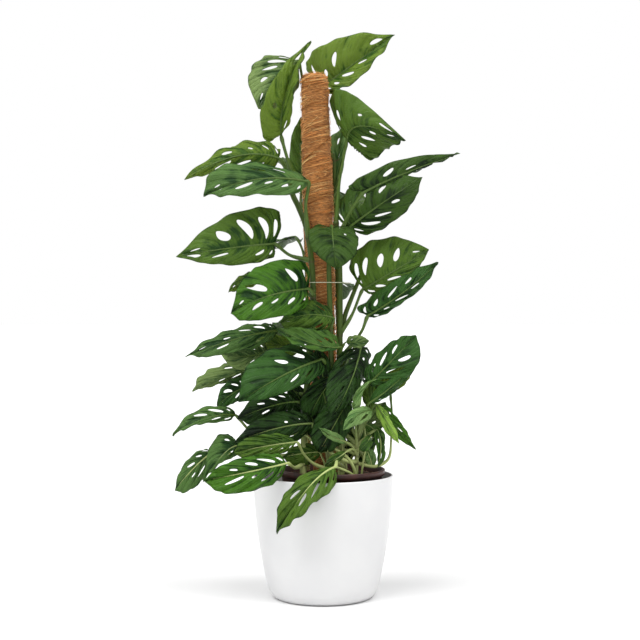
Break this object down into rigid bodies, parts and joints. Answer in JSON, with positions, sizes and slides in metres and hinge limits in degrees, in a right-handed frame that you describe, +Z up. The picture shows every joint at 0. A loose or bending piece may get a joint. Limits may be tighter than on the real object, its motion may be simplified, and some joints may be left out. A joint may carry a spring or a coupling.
{
  "type": "monstera adansonii plant in pot",
  "caption": "Climbing houseplant with long oval holes in its leaves, tied to a coir pole, in a nursery pot inside a tapered white cover pot.",
  "frame": {"origin": "middle of the cover pot's flat underside", "axes": "+Z up along the coir pole, +X to the right seen from the front, +Y away from the front"},
  "size_m": [0.4272, 0.2999, 0.8892],
  "materials": {
    "cover_pot": "satin",
    "nursery_pot": "satin",
    "soil": "matte",
    "rod": "matte",
    "coir": "matte",
    "tie": "matte",
    "stem": "satin",
    "shoot": "satin",
    "leaf": "satin"
  },
  "bodies": {
    "root": {"cover_pot": "cover_pot", "nursery_pot": "nursery_pot", "soil": "soil", "pole_rod": "rod", "coir_sleeve": "coir", "tie_thread": "tie", "left_vine": "stem", "middle_vine": "stem", "right_vine": "stem", "back_left_vine": "stem", "back_right_vine": "stem", "young_shoot": "shoot", "leaf_01": "leaf", "leaf_02": "leaf", "leaf_03": "leaf", "leaf_04": "leaf", "leaf_05": "leaf", "leaf_06": "leaf", "leaf_07": "leaf", "leaf_08": "leaf", "leaf_09": "leaf", "leaf_10": "leaf", "leaf_11": "leaf", "leaf_12": "leaf", "leaf_13": "leaf", "leaf_14": "leaf", "leaf_15": "leaf", "leaf_16": "leaf", "leaf_17": "leaf", "leaf_18": "leaf", "leaf_19": "leaf", "leaf_20": "leaf", "leaf_21": "leaf", "leaf_22": "leaf", "leaf_23": "leaf", "leaf_24": "leaf", "leaf_25": "leaf", "leaf_26": "leaf", "leaf_27": "leaf", "leaf_28": "leaf", "leaf_29": "leaf", "leaf_30": "leaf", "leaf_31": "leaf", "leaf_32": "leaf", "leaf_33": "leaf", "leaf_34": "leaf", "leaf_35": "leaf", "leaf_36": "leaf", "leaf_37": "leaf", "leaf_38": "leaf", "leaf_39": "leaf", "leaf_40": "leaf", "leaf_41": "leaf", "leaf_42": "leaf", "leaf_43": "leaf", "leaf_44": "leaf", "leaf_45": "leaf", "leaf_46": "leaf", "leaf_47": "leaf", "leaf_48": "leaf"}
  },
  "joints": []
}
